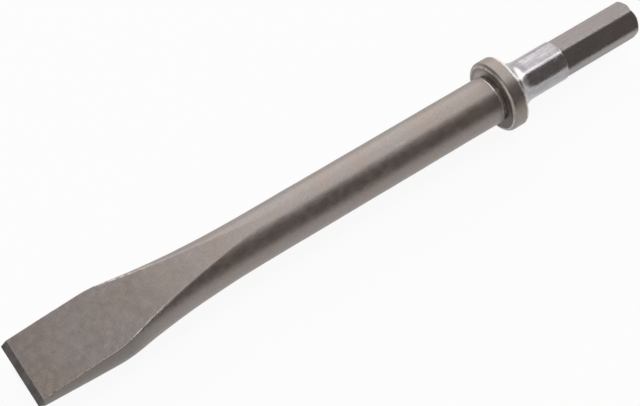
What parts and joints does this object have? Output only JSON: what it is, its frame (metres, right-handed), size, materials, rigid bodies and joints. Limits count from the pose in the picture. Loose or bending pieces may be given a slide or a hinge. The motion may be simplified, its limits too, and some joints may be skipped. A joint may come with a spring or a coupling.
{
  "type": "flat chisel for an air hammer",
  "caption": "Steel flat chisel with a hexagonal shank, a ground neck, a retaining collar, a round body and a forged flat blade with a ground edge.",
  "frame": {"origin": "centre of the flat struck face at the shank's end", "axes": "+X along the tool's axis from the struck face to the cutting edge, +Z square to the blade's flats, Y along the cutting edge"},
  "size_m": [0.281, 0.03, 0.03],
  "materials": {
    "blasted_steel": "shot-blasted forged steel, taupe grey, satin",
    "hex_steel": "drawn and heat-treated steel, satin",
    "polished_neck": "bright ground and polished steel",
    "bright_chamfer": "bright turned steel",
    "ground_edge": "ground and hardened steel, dark"
  },
  "bodies": {
    "root": {"striking_end": "bright_chamfer", "hex_shank": "hex_steel", "neck": "polished_neck", "collar": "blasted_steel", "body": "blasted_steel", "blade": "blasted_steel", "cutting_edge": "ground_edge"}
  },
  "joints": []
}
